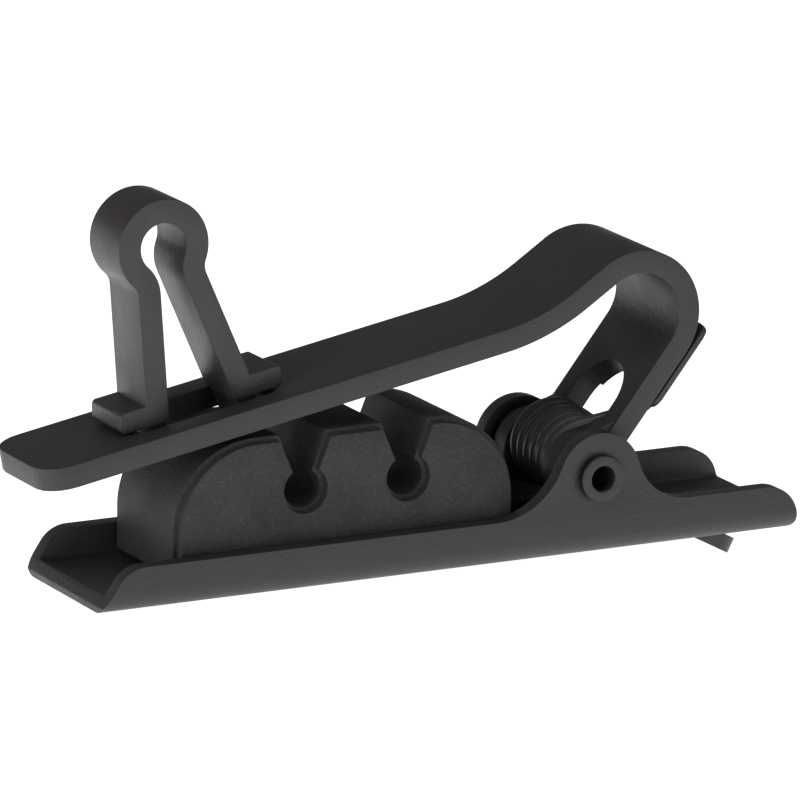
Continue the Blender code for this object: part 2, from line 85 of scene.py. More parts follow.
BASE_LENGTH = 39.3
BASE_WIDTH = 9.44
SHEET = 0.85                 # metal of the base
PIVOT = (27.77, 4.07)        # x, z of the hinge pin
PIN_HOLE = 1.08              # radius of the holes in the ears
TONGUE_ROOT = 33.8           # where the tongue in the tail starts to bend
BLOCK_FRONT = 4.42
BLOCK_REAR = 23.45
STUD_INSET = 3.0             # the block's studs, from each of its ends
STUD_RADIUS = 0.85
JAW_WIDTH = 6.8
JAW_SHEET = 1.15
LEG_SLOPE = math.radians(51.8)
print("base", BASE_LENGTH, "x", BASE_WIDTH, "mm; pin at", PIVOT)

# %% [markdown]
# ## Outlines
# Each piece starts as a flat outline, a list of (u, v) points. Bevels on a finished mesh
# could round its corners, but bent sheet has radii of several sizes on one piece, so
# `rounded` replaces each corner by an arc of its own radius.

# %% Arcs and rounded corners
def arc(centre, radius, start, end, step=math.radians(15)):
    """Points on a circle from the start angle to the end angle."""
    count = max(2, math.ceil(abs(end - start) / (step * FINE)))
    points = []
    for i in range(count + 1):
        angle = start + (end - start) * i / count
        points.append((centre[0] + radius * math.cos(angle),
                       centre[1] + radius * math.sin(angle)))
    return points


def circle(centre, radius, sides):
    """A full turn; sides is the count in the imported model, and FINE adds more."""
    return arc(centre, radius, 0, 2 * math.pi, 2 * math.pi / sides)[:-1]


def rounded(corners, closed=True, step=math.radians(18)):
    """Replace each (u, v, radius) corner by an arc of that radius."""
    points = []
    count = len(corners)
    for i, (u, v, radius) in enumerate(corners):
        at_end = not closed and i in (0, count - 1)
        if radius == 0 or at_end:
            points.append((u, v))
            continue
        here = Vector((u, v))
        to_last = (Vector(corners[i - 1][:2]) - here).normalized()
        to_next = (Vector(corners[(i + 1) % count][:2]) - here).normalized()
        half = to_last.angle(to_next) / 2
        centre = here + (to_last + to_next).normalized() * radius / math.sin(half)
        first = here + to_last * radius / math.tan(half) - centre
        last = here + to_next * radius / math.tan(half) - centre
        start = math.atan2(first.y, first.x)
        sweep = (math.atan2(last.y, last.x) - start + math.pi) % (2 * math.pi) - math.pi
        points += arc(centre, radius, start, start + sweep, step)
    return points


print("quarter circle:", len(arc((0, 0), 1.0, 0, math.pi / 2)), "points")

# %% [markdown]
# ## Solids from outlines
# A `prism` pushes an outline straight along an axis. A `ribbon` is a strip that follows
# a path and may change its width on the way, as the jaw does at its nose. A curve with
# a bevel could make both, but building the faces here keeps the corners exact.

# %% Prism
def make_object(name, mesh_builder):
    """Fill a new mesh and turn its faces outwards."""
    mesh = bpy.data.meshes.new(name)
    bm = bmesh.new()
    mesh_builder(bm)
    bmesh.ops.recalc_face_normals(bm, faces=bm.faces)
    bm.to_mesh(mesh)
    bm.free()
    item = bpy.data.objects.new(name, mesh)
    bpy.context.collection.objects.link(item)
    return item


def place(axis, u, v, w):
    """Put an outline point (u, v) at distance w along the extrusion axis."""
    order = {"X": (w, u, v), "Y": (u, w, v), "Z": (u, v, w)}
    return Vector(order[axis]) * MM


def join_rings(bm, rings):
    """Close the two end rings and skin the sides between neighbours."""
    bm.faces.new(rings[0])
    bm.faces.new(rings[-1])
    for here, there in zip(rings, rings[1:]):
        for k in range(len(here)):
            n = (k + 1) % len(here)
            bm.faces.new((here[k], here[n], there[n], there[k]))


def prism(name, outline, axis, low, high):
    """Extrude a closed outline along an axis."""
    def build(bm):
        join_rings(bm, [[bm.verts.new(place(axis, u, v, level)) for u, v in outline]
                        for level in (low, high)])
    return make_object(name, build)


def disc(name, centre, radius, low, high, sides):
    """A round bar along Y."""
    return prism(name, circle(centre, radius, sides), "Y", low, high)


print("prism and disc ready")

# %% Ribbon
SHARPEST_MITRE = 0.5         # cosine past which a bend's outside is not stretched further


def offset_path(path, distance):
    """Shift an open path sideways, to its left for a positive distance."""
    shifted = []
    for i, point in enumerate(path):
        before = Vector(path[max(i - 1, 0)])
        after = Vector(path[min(i + 1, len(path) - 1)])
        here = Vector(point)
        parts = [d.normalized() for d in (here - before, after - here) if d.length > 1e-9]
        normals = [Vector((-d.y, d.x)) for d in parts]
        normal = sum(normals, Vector((0, 0))).normalized()
        stretch = 1 / max(normal.dot(normals[0]), SHARPEST_MITRE)
        shifted.append(tuple(here + normal * distance * stretch))
    return shifted


def ribbon(name, path, thickness, half_width):
    """A strip along an (x, z) path; half_width(s) is its half width at distance s."""
    left = offset_path(path, thickness / 2)
    right = offset_path(path, -thickness / 2)
    travelled = 0.0
    stations = []
    for i, point in enumerate(path):
        if i:
            travelled += math.dist(point, path[i - 1])
        stations.append((left[i], right[i], half_width(travelled)))

    def build(bm):
        rings = []
        for top, bottom, half in stations:
            spots = ((top, -half), (top, half), (bottom, half), (bottom, -half))
            rings.append([bm.verts.new(place("Y", *p, y)) for p, y in spots])
        join_rings(bm, rings)
    return make_object(name, build)


print("ribbon ready")

# %% [markdown]
# ## Cutting, softening and handing over
# Boolean modifiers join and cut the solids, which keeps every hole a clean circle.
# A small bevel then rounds the edges, as tumbling and painting do, because a perfectly
# sharp edge catches no light. `bake` turns the result into a plain mesh, moves it from
# the front edge to the origin, and hands it to the body that it moves with.

# %% Booleans, bevel and bake
BEVEL_ABOVE = math.radians(40)      # only edges sharper than this are rounded
SMOOTH_BELOW = math.radians(32)     # flatter edges than this are shaded smooth


def combine(target, other, operation):
    """Union, difference or intersection with a helper solid."""
    step = target.modifiers.new(other.name, "BOOLEAN")
    step.operation = operation
    step.solver = "EXACT"
    step.object = other


def both_sides(near, far):
    """The two mirrored spans along Y from near to far."""
    return (-far, -near), (near, far)


def soften(target, width):
    """Break the sharp edges."""
    edge = target.modifiers.new("edges", "BEVEL")
    edge.width = width * MM
    edge.segments = 3
    edge.limit_method = "ANGLE"
    edge.angle_limit = BEVEL_ABOVE


def bake(item, body, node, material):
    """Make the piece a plain mesh in the frame; it replaces a node and rides on a body."""
    evaluated = item.evaluated_get(bpy.context.evaluated_depsgraph_get())
    mesh = bpy.data.meshes.new_from_object(evaluated)
    helpers = [step.object for step in item.modifiers if step.type == "BOOLEAN"]
    item.modifiers.clear()
    item.data = mesh
    for helper in helpers:
        bpy.data.objects.remove(helper)
    mesh.transform(Matrix.Translation((-DATUM_X * MM, 0, 0)))
    mesh.materials.clear()
    mesh.materials.append(material)
    mesh.shade_smooth()
    mesh.set_sharp_from_angle(angle=SMOOTH_BELOW)
    item.name = f"fine_{node}"
    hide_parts(node)
    if body:
        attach(item, body)
    print(item.name, len(mesh.polygons), "faces")
    return item


print("modifier helpers ready")

# %% [markdown]
# ## Materials
# The coatings and the moulding are all nearly black, so their look comes from how they
# scatter light. An image of painted metal could be wrapped round them, but noise in
# Object coordinates needs no unwrapping and has no seams. One node group makes fine
# grain for the bump, patches for the roughness, and light specks, and each material
# uses it with its own numbers.

# %% Grain group
PATCH_SCALE = 420.0          # per metre: patches a few millimetres wide
BUMP_HEIGHT = 0.00006        # metres
SPECK_RANGE = (0.52, 0.72)   # only the highest part of the grain becomes a speck


def make_grain_group():
    group = bpy.data.node_groups.new("grain", "ShaderNodeTree")
    sockets = group.interface
    for name, value in (("Scale", 5000.0), ("Bump", 0.2)):
        socket = sockets.new_socket(name, in_out="INPUT", socket_type="NodeSocketFloat")
        socket.default_value = value
    for name, kind in (("Patches", "Float"), ("Specks", "Float"), ("Normal", "Vector")):
        sockets.new_socket(name, in_out="OUTPUT", socket_type=f"NodeSocket{kind}")
    nodes = group.nodes
    links = group.links
    given = nodes.new("NodeGroupInput")
    result = nodes.new("NodeGroupOutput")
    place_node = nodes.new("ShaderNodeTexCoord")
    fine = nodes.new("ShaderNodeTexNoise")
    fine.inputs["Detail"].default_value = 4.0
    fine.inputs["Roughness"].default_value = 0.6
    patches = nodes.new("ShaderNodeTexNoise")
    patches.inputs["Scale"].default_value = PATCH_SCALE
    patches.inputs["Detail"].default_value = 5.0
    for noise in (fine, patches):
        links.new(place_node.outputs["Object"], noise.inputs["Vector"])
    links.new(given.outputs["Scale"], fine.inputs["Scale"])
    bump = nodes.new("ShaderNodeBump")
    bump.inputs["Distance"].default_value = BUMP_HEIGHT
    links.new(given.outputs["Bump"], bump.inputs["Strength"])
    links.new(fine.outputs["Fac"], bump.inputs["Height"])
    specks = nodes.new("ShaderNodeMapRange")
    specks.inputs["From Min"].default_value = SPECK_RANGE[0]
    specks.inputs["From Max"].default_value = SPECK_RANGE[1]
    links.new(fine.outputs["Fac"], specks.inputs["Value"])
    links.new(patches.outputs["Fac"], result.inputs["Patches"])
    links.new(specks.outputs["Result"], result.inputs["Specks"])
    links.new(bump.outputs["Normal"], result.inputs["Normal"])
    return group


grain = make_grain_group()
print("grain group:", len(grain.nodes), "nodes")

# %% [markdown]
# Every material on the clip is the same small tree: two near blacks mixed by the grain,
# and a roughness that drifts with the patches. Five trees could be drawn by hand, but
# one function makes them alike. The Principled shader stays in the material itself and
# its metallic value is set on its socket, because the export reads it there.

# %% Material recipe
PATCH_RANGE = (0.3, 0.7)     # where the values of the patches mostly lie


def make_material(name, dark, light, roughness, scale, bump, metallic=0.0, mask="Patches"):
    """Two colours mixed by the grain's patches or specks, and a range of roughness."""
    material = bpy.data.materials.new(name)
    material.use_nodes = True
    nodes = material.node_tree.nodes
    links = material.node_tree.links
    shader = nodes["Principled BSDF"]
    shader.inputs["Metallic"].default_value = metallic
    texture = nodes.new("ShaderNodeGroup")
    texture.node_tree = grain
    texture.inputs["Scale"].default_value = scale
    texture.inputs["Bump"].default_value = bump
    colour = nodes.new("ShaderNodeMix")
    colour.data_type = "RGBA"
    colour.inputs["A"].default_value = (*dark, 1)
    colour.inputs["B"].default_value = (*light, 1)
    links.new(texture.outputs[mask], colour.inputs["Factor"])
    links.new(colour.outputs["Result"], shader.inputs["Base Color"])
    rough = nodes.new("ShaderNodeMapRange")
    for socket, value in zip(("From Min", "From Max", "To Min", "To Max"),
                             PATCH_RANGE + roughness):
        rough.inputs[socket].default_value = value
    links.new(texture.outputs["Patches"], rough.inputs["Value"])
    links.new(rough.outputs["Result"], shader.inputs["Roughness"])
    links.new(texture.outputs["Normal"], shader.inputs["Normal"])
    print("material", name)
    return material


# %% [markdown]
# The base, the jaw and the loop have a satin black coating. A coat like paint hides the
# metal, so it is not metallic. The loop's is a little lighter and smoother than the
# base's, and the jaw's is the dullest, so each has its own numbers.

# %% Coatings
black_coat = make_material("black_coat", (0.021, 0.0165, 0.0175), (0.031, 0.0255, 0.027),
                           roughness=(0.40, 0.52), scale=4400, bump=0.55)
jaw_coat = make_material("jaw_coat", (0.0195, 0.0162, 0.017), (0.031, 0.026, 0.027),
                         roughness=(0.42, 0.54), scale=4400, bump=0.55)
loop_coat = make_material("loop_coat", (0.023, 0.0182, 0.020), (0.034, 0.0285, 0.031),
                          roughness=(0.36, 0.48), scale=4700, bump=0.45)

# %% [markdown]
# The block has the matt, speckled face of a moulding, which needs a stronger bump and
# pale specks. The wire of the spring looks like blackened steel, so it is partly
# metallic and shines more. The rivet is darker than either. Painted images could be
# used, but the grain group already holds what these finishes need.

# %% Moulding and steel
moulded_black = make_material("moulded_black", (0.018, 0.018, 0.018), (0.050, 0.050, 0.048),
                              roughness=(0.55, 0.75), scale=9000, bump=0.7, mask="Specks")
blackened_steel = make_material("blackened_steel", (0.070, 0.067, 0.066),
                                (0.115, 0.110, 0.108), roughness=(0.26, 0.42),
                                scale=4800, bump=0.2, metallic=0.3)
dark_rivet = make_material("dark_rivet", (0.012, 0.011, 0.011), (0.024, 0.022, 0.022),
                           roughness=(0.30, 0.46), scale=4800, bump=0.4)

# %% [markdown]
# ## The base
# The base is a channel folded from one sheet, with an ear on each wall for the pin. It
# could be bent from a flat pattern, but its section is the same all along, so the
# section is pushed along X and the side view then trims the walls.

# %% Base section and side view
BEND_RADIUS = 1.05           # outside of the bend between floor and walls
WALL_BLANK = 8.0             # the walls start this tall and are trimmed
WALL_FRONT = 2.32            # wall height in front of the ears
WALL_TAIL = 2.45             # wall height behind the ears
NOSE_SETBACK = 1.35          # the walls lean back from the front edge by this much
NOSE_EDGE = (0.3, 0.25)      # height and radius of the corner above the front edge
NOSE_TOP_RADIUS = 1.7
FRONT_FILLET = 4.0           # hollow curve from the front wall up to the ear
TAIL_FILLET = 3.0            # hollow curve from the ear down to the tail wall
TAIL_CORNER = 1.8
TAIL_FOOT = (-0.02, 0.5)     # height and radius of the corner below the tail
TAIL_FOOT_RUN = 1.0
CUT_BELOW = -1.0             # cuts start this far below the underside
BLANK_OVER = 1.0             # the section runs this far past both ends
EAR_RADIUS = 2.3


def channel_section():
    """The U shape of the base, in (y, z); the walls start far taller than needed."""
    half = BASE_WIDTH / 2
    inner = BEND_RADIUS - SHEET
    return rounded([
        (-half, WALL_BLANK, 0), (-half, 0, BEND_RADIUS),
        (half, 0, BEND_RADIUS), (half, WALL_BLANK, 0),
        (half - SHEET, WALL_BLANK, 0), (half - SHEET, SHEET, inner),
        (SHEET - half, SHEET, inner), (SHEET - half, WALL_BLANK, 0)])


def fillet_beside_ear(direction, wall, fillet):
    """Centre of the hollow curve that touches both the ear and the top of the wall."""
    height = wall + fillet
    rise = height - PIVOT[1]
    along = math.sqrt((fillet + EAR_RADIUS) ** 2 - rise ** 2)
    centre = (PIVOT[0] + direction * along, height)
    return centre, math.atan2(centre[1] - PIVOT[1], centre[0] - PIVOT[0])


def channel_profile():
    """The side view of the walls, in (x, z), from the nose over the ear to the tail."""
    front, to_front = fillet_beside_ear(-1, WALL_FRONT, FRONT_FILLET)
    tail, to_tail = fillet_beside_ear(1, WALL_TAIL, TAIL_FILLET)
    foot, foot_radius = TAIL_FOOT
    foot_end = BASE_LENGTH - TAIL_FOOT_RUN
    nose = rounded([(0.0, CUT_BELOW, 0), (0.0, *NOSE_EDGE),
                    (NOSE_SETBACK, WALL_FRONT, NOSE_TOP_RADIUS),
                    (front[0], WALL_FRONT, 0)], closed=False)
    end = rounded([(tail[0], WALL_TAIL, 0), (BASE_LENGTH, WALL_TAIL, TAIL_CORNER),
                   (BASE_LENGTH, foot, foot_radius), (foot_end, foot, 0),
                   (foot_end, CUT_BELOW, 0)], closed=False)
    up_curve = arc(front, FRONT_FILLET, -math.pi / 2, to_front - math.pi)
    ear = arc(PIVOT, EAR_RADIUS, to_front, to_tail, step=math.radians(12))
    down_curve = arc(tail, TAIL_FILLET, to_tail + math.pi, 3 * math.pi / 2)
    return nose[:-1] + up_curve + ear[1:-1] + down_curve + end[1:]


print("side view of the base:", len(channel_profile()), "points")

# %% [markdown]
# A tongue is cut from the floor of the tail and bent down. Cutting and bending the floor
# of the mesh would work, but a tapered ribbon joined to the floor by a boolean needs no
# loops in the floor, and the slot that it leaves is cut in the next step.

# %% Tongue
TONGUE_DROP = math.radians(28.0)
TONGUE_LENGTH = 4.6
TONGUE_HALF = 1.45           # half its width at the root
TONGUE_TAPER = 0.09          # lost from the half width on each millimetre
TONGUE_BEND = 0.9
TONGUE_OVERLAP = 0.6         # it starts this far inside the floor
TONGUE_THINNER = 0.02        # so that no face of it lies in a face of the floor
TIP_STEPS = (1.2, 0.9, 0.6, 0.35, 0.15, 0.0)     # stations back from the tip
TIP_FLAT = 0.12              # the tip stops this blunt


def tongue():
    """The lanced tongue that bends down out of the tail floor."""
    middle = SHEET / 2
    tip = (TONGUE_ROOT + TONGUE_LENGTH * math.cos(TONGUE_DROP),
           middle - TONGUE_LENGTH * math.sin(TONGUE_DROP))
    path = rounded([(TONGUE_ROOT - TONGUE_OVERLAP, middle, 0),
                    (TONGUE_ROOT, middle, TONGUE_BEND), (*tip, 0)],
                   closed=False, step=math.radians(10))[:-1]
    along = Vector((math.cos(TONGUE_DROP), -math.sin(TONGUE_DROP)))
    path += [tuple(Vector(tip) - along * back) for back in TIP_STEPS]
    total = sum(math.dist(a, b) for a, b in zip(path, path[1:]))

    def half_width(s):
        left = min(total - s, TIP_STEPS[0])
        bulge = 1 - (1 - left / TIP_STEPS[0]) ** 2
        return (TONGUE_HALF - TONGUE_TAPER * s) * math.sqrt(max(bulge, TIP_FLAT))
    return ribbon("tongue_shape", path, SHEET - TONGUE_THINNER, half_width)


print("tongue drops", round(TONGUE_LENGTH * math.sin(TONGUE_DROP), 2), "mm")

# %% Base channel
SLOT_BESIDE = 0.25           # room beside the tongue
SLOT_BEYOND = 0.35           # room past its length, laid flat
SLOT_START = 0.15
SLOT_CORNER = 1.1
FLOOR_CUT = (CUT_BELOW, 1.6)
BASE_EDGE = 0.12


def base_channel():
    base = prism("base_channel", channel_section(), "X", -BLANK_OVER, BASE_LENGTH + BLANK_OVER)
    combine(base, prism("side_view", channel_profile(), "Y", -THROUGH, THROUGH), "INTERSECT")
    combine(base, disc("pin_holes", PIVOT, PIN_HOLE, -THROUGH, THROUGH, sides=24), "DIFFERENCE")
    low, high = TONGUE_ROOT + SLOT_START, TONGUE_ROOT + TONGUE_LENGTH + SLOT_BEYOND
    half = TONGUE_HALF + SLOT_BESIDE
    slot = rounded([(low, -half, 0), (high, -half, SLOT_CORNER),
                    (high, half, SLOT_CORNER), (low, half, 0)])
    combine(base, prism("tongue_slot", slot, "Z", *FLOOR_CUT), "DIFFERENCE")
    for x in (BLOCK_FRONT + STUD_INSET, BLOCK_REAR - STUD_INSET):
        hole = circle((x, 0), STUD_RADIUS + FIT_GAP, sides=18)
        combine(base, prism("stud_hole", hole, "Z", *FLOOR_CUT), "DIFFERENCE")
    combine(base, tongue(), "UNION")
    soften(base, BASE_EDGE)
    return base


bake(base_channel(), "base", "base_channel", black_coat)

# %% [markdown]
# ## The cable block
# The moulded block has a domed outline and two keyhole slots that grip a thin cable.
# Its side faces stand proud of the core, so a narrow shelf shows along its rounded
# edge. Two prisms joined through each other give that shelf with no edge loops to
# place by hand, and the same keyhole, a little wider, cuts the raised faces.

# %% Block outlines
BLOCK_TOP = 7.87
BLOCK_CORNER = 4.5
BLOCK_FOOT_RADIUS = 0.3
BORE_HEIGHT = 4.98           # centre of the round part of a slot
BORE_RADIUS = 1.0
NECK_HALF = 0.55
NECK_SHARE = 0.8             # a wider slot widens its neck by this share
MOUTH_HALF = 1.3
MOUTH_OVER = 0.6             # the cut runs on this far above the top


def dome(inset):
    """Outline of the block in (x, z), pulled in all round by the inset."""
    floor = SHEET + FIT_GAP
    corner = BLOCK_CORNER - inset
    low = floor + inset * 0.5
    return rounded([
        (BLOCK_FRONT + inset, low, BLOCK_FOOT_RADIUS),
        (BLOCK_FRONT + inset, BLOCK_TOP - inset, corner),
        (BLOCK_REAR - inset, BLOCK_TOP - inset, corner),
        (BLOCK_REAR - inset, low, BLOCK_FOOT_RADIUS)], step=math.radians(10))


def keyhole(x, extra):
    """Cable slot in (x, z): a round bore that opens through a neck into a flared mouth."""
    radius = BORE_RADIUS + extra
    neck = NECK_HALF + extra * NECK_SHARE
    half_opening = math.asin(neck / radius)
    bore = arc((x, BORE_HEIGHT), radius, math.pi / 2 + half_opening,
               5 * math.pi / 2 - half_opening, step=math.radians(18))
    neck_height = BORE_HEIGHT + radius * math.cos(half_opening)
    flare = (MOUTH_HALF - NECK_HALF) / (BLOCK_TOP - neck_height)
    wide = MOUTH_HALF + extra + flare * MOUTH_OVER
    over = BLOCK_TOP + MOUTH_OVER
    return bore + [(x + wide, over), (x - wide, over)]


print("block", round(BLOCK_REAR - BLOCK_FRONT, 2), "mm long; bores", 2 * BORE_RADIUS, "mm")

# %% Cable block
BLOCK_HALF = 3.7             # half its width across the raised side faces
CHEEK_DEPTH = 0.45           # how far the side faces stand proud of the core
CHEEK_INSET = 0.25           # their outline is smaller all round by this
BORE_CENTRES = (11.6, 17.35)
BORE_STEP = 0.22             # the slots are this much wider in the side faces
STUD_SPAN = (0.05, 2.0)
BLOCK_EDGE = 0.12


def cable_block():
    core_half = BLOCK_HALF - CHEEK_DEPTH
    block = prism("cable_block", dome(0.0), "Y", -core_half, core_half)
    cheeks = prism("block_cheeks", dome(CHEEK_INSET), "Y", -BLOCK_HALF, BLOCK_HALF)
    combine(block, cheeks, "UNION")
    for x in BORE_CENTRES:
        way = prism("cable_way", keyhole(x, 0.0), "Y", -THROUGH, THROUGH)
        combine(block, way, "DIFFERENCE")
        for low, high in both_sides(core_half, THROUGH):
            wide = prism("cable_way_wide", keyhole(x, BORE_STEP), "Y", low, high)
            combine(block, wide, "DIFFERENCE")
    for x in (BLOCK_FRONT + STUD_INSET, BLOCK_REAR - STUD_INSET):
        stud = prism("block_stud", circle((x, 0), STUD_RADIUS, sides=18), "Z", *STUD_SPAN)
        combine(block, stud, "UNION")
    soften(block, BLOCK_EDGE)
    return block


bake(cable_block(), "base", "cable_block", moulded_black)

# %% [markdown]
# ## The jaw
# The jaw is one strip: flat over the block, hollow, then bent right
# round a finger-sized crest into a leg with an arched window. Its two tines end in ears
# on the pin. A ribbon along the middle of the strip keeps the thickness the same round
# every bend, which a pushed and pulled mesh would not.

# %% Jaw path
JAW_SLOPE = math.radians(10.3)
JAW_TOP_START = (-2.6, 7.30)     # top face at the nose
JAW_HOLLOW_X = 25.2              # where the flat part and the rise to the crest would meet
JAW_HOLLOW_RADIUS = 12.0
JAW_RISE = math.radians(37.2)
CREST_CENTRE = (30.61, 11.82)
CREST_RADIUS = 3.47              # outside of the finger bend
LEG_END = 0.6                    # the strip stops this far up the leg from the pin
NOSE_CORNER = 1.6
NOSE_STEPS = (0.12, 0.3, 0.55, 0.85, 1.2, NOSE_CORNER)
LEG_DIR = (math.cos(LEG_SLOPE), math.sin(LEG_SLOPE))
LEG_BACK = (math.sin(LEG_SLOPE), -math.cos(LEG_SLOPE))


def up_leg(along, back):
    """A point given by its distance up the leg from the pin, and behind the pin."""
    return (PIVOT[0] + along * LEG_DIR[0] + back * LEG_BACK[0],
            PIVOT[1] + along * LEG_DIR[1] + back * LEG_BACK[1])


def leg_middle():
    """How far behind the pin the middle of the straight leg runs."""
    reach = Vector(CREST_CENTRE) - Vector(PIVOT)
    return reach.dot(Vector(LEG_BACK)) + CREST_RADIUS - JAW_SHEET / 2


def jaw_top_z(x):
    """Height of the jaw's flat top face at x."""
    return JAW_TOP_START[1] + (x - JAW_TOP_START[0]) * math.tan(JAW_SLOPE)


def jaw_path():
    """Middle of the strip in (x, z), from the nose to the pin."""
    half = JAW_SHEET / 2
    down = Vector((math.sin(JAW_SLOPE), -math.cos(JAW_SLOPE))) * half
    nose = Vector(JAW_TOP_START) + down
    hollow = Vector((JAW_HOLLOW_X, jaw_top_z(JAW_HOLLOW_X))) + down
    crest = arc(CREST_CENTRE, CREST_RADIUS - half, JAW_RISE + math.pi / 2,
                LEG_SLOPE - math.pi / 2, step=math.radians(12))
    corners = (nose.x, nose.y, 0), (hollow.x, hollow.y, JAW_HOLLOW_RADIUS), (*crest[0], 0)
    front = rounded(corners, closed=False, step=math.radians(5))
    along = Vector((math.cos(JAW_SLOPE), math.sin(JAW_SLOPE)))
    tip = [tuple(nose + along * s) for s in NOSE_STEPS]
    return [tuple(nose)] + tip + front[1:-1] + crest + [up_leg(LEG_END, leg_middle())]


def corner_half_width(edge, corner):
    """Half width of the jaw's strip at a distance from its end, with rounded corners."""
    half = JAW_WIDTH / 2
    if edge >= corner:
        return half
    return half - corner + math.sqrt(corner ** 2 - (corner - edge) ** 2)


print("jaw path:", len(jaw_path()), "stations")

# %% [markdown]
# The window in the leg has straight sides and a round top, and its open foot leaves the
# two tines. It is cut square to the leg, so its prism is made level and then turned by
# a matrix whose columns are the leg's own directions.

# %% Window
WINDOW_HALF = 2.08               # half the width of the window in the leg
WINDOW_ARCH = 3.71               # arch centre, measured up the leg from the pin
WINDOW_FOOT = -3.2               # the cut runs down past the pin
WINDOW_SPAN = (-2.6, 3.0)        # in front of the pin and behind it


def window_cutter(name, grow):
    """Arch-topped window, cut square to the leg; it can be cut a little larger all round."""
    half = WINDOW_HALF + grow
    arch = arc((0, WINDOW_ARCH), half, 0, math.pi)
    outline = [(half, WINDOW_FOOT)] + arch + [(-half, WINDOW_FOOT)]
    cutter = prism(name, outline, "X", *WINDOW_SPAN)
    cutter.data.transform(Matrix((
        (LEG_BACK[0], 0, LEG_DIR[0], PIVOT[0] * MM),
        (0, 1, 0, 0),
        (LEG_BACK[1], 0, LEG_DIR[1], PIVOT[1] * MM),
        (0, 0, 0, 1))))
    return cutter


print("window", 2 * WINDOW_HALF, "mm wide")

# %% Jaw
JAW_EAR_RADIUS = 1.95
JAW_EAR_THICKNESS = 1.15
JAW_EAR_START = math.radians(35)     # from the leg's direction
JAW_EAR_SWEEP = math.radians(290)
WEB_REACH = 3.2                      # each ear joins the leg this far up from the pin
WEB_HALF = 0.4
HOLE_FRONT_X = 3.3                   # the hole for the microphone loop
HOLE_REAR_X = 10.9
HOLE_HALF = 1.85
HOLE_CORNER = 0.4
HOLE_CUT = (4, 11)
JAW_EDGE = 0.14


def jaw():
    item = ribbon("jaw", jaw_path(), JAW_SHEET, lambda s: corner_half_width(s, NOSE_CORNER))
    middle = leg_middle()
    web = [up_leg(WEB_REACH, middle + WEB_HALF), up_leg(WEB_REACH, middle - WEB_HALF)]
    start = LEG_SLOPE + JAW_EAR_START
    ear = arc(PIVOT, JAW_EAR_RADIUS, start, start + JAW_EAR_SWEEP)
    for low, high in both_sides(WINDOW_HALF, WINDOW_HALF + JAW_EAR_THICKNESS):
        combine(item, prism("jaw_ear", ear + web, "Y", low, high), "UNION")
    combine(item, window_cutter("leg_window", 0.0), "DIFFERENCE")
    combine(item, disc("pin_holes", PIVOT, PIN_HOLE, -THROUGH, THROUGH, sides=24), "DIFFERENCE")
    hole = rounded([(x, y, HOLE_CORNER) for x, y in (
        (HOLE_FRONT_X, -HOLE_HALF), (HOLE_REAR_X, -HOLE_HALF),
        (HOLE_REAR_X, HOLE_HALF), (HOLE_FRONT_X, HOLE_HALF))])
    combine(item, prism("loop_hole", hole, "Z", *HOLE_CUT), "DIFFERENCE")
    soften(item, JAW_EDGE)
    return item


bake(jaw(), "jaw", "jaw", jaw_coat)

# %% [markdown]
# ## The plate on the leg
# A thin plate lies on the back of the leg, under the spring's arm. It could be a
# thickened plane, but its arch has to clear the window, so it is a short ribbon cut by
# the window's own cutter, made a little larger.

# %% Leg plate
PLATE_SHEET = 0.28
PLATE_GAP = 0.1              # between the leg, its plate and the spring's arm
PLATE_LOW = 4.6              # measured up the leg from the pin
PLATE_HIGH = 9.6
PLATE_CORNER = 0.6
PLATE_STEPS = (0.0, 0.12, 0.3, 0.6)      # stations in from each end
PLATE_ARCH_GROW = 0.35


def leg_plate():
    back = leg_middle() + JAW_SHEET / 2 + PLATE_GAP + PLATE_SHEET / 2
    total = PLATE_HIGH - PLATE_LOW
    rise = list(PLATE_STEPS) + [total - s for s in reversed(PLATE_STEPS)]
    path = [up_leg(PLATE_LOW + s, back) for s in rise]

    def half_width(s):
        return corner_half_width(max(min(s, total - s), 0), PLATE_CORNER)
    plate = ribbon("leg_plate", path, PLATE_SHEET, half_width)
    combine(plate, window_cutter("plate_arch", PLATE_ARCH_GROW), "DIFFERENCE")
    return plate


bake(leg_plate(), "jaw", "leg_plate", jaw_coat)

# %% [markdown]
# ## The microphone loop
# A strip is bent into a ring on two splayed legs. Its feet lie on the jaw and its
# hooks pass through the hole in the jaw. A ribbon could follow the strip, but it would
# have to split at the feet, so the loop is one closed outline pushed along Y, and a
# slightly narrower prism makes the hooks.

# %% Loop frame
LOOP_CENTRE = (4.66, 17.69)
LOOP_RADIUS = 1.86               # middle of the strip in the ring
LOOP_STRIP = 1.22
LOOP_TILT = math.radians(14.0)   # the loop leans over the nose
LOOP_SPLAY = math.radians(9.8)   # each leg's angle to the loop's own axis
LOOP_NECK_OFFSET = 0.937         # distance of a leg's middle line from the ring centre
LOOP_NECK_RADIUS = 1.5


def loop_point(along, across):
    """Loop frame to (x, z): along runs from the ring centre down the loop's axis."""
    sin, cos = math.sin(LOOP_TILT), math.cos(LOOP_TILT)
    return (LOOP_CENTRE[0] + along * sin + across * cos,
            LOOP_CENTRE[1] - along * cos + across * sin)


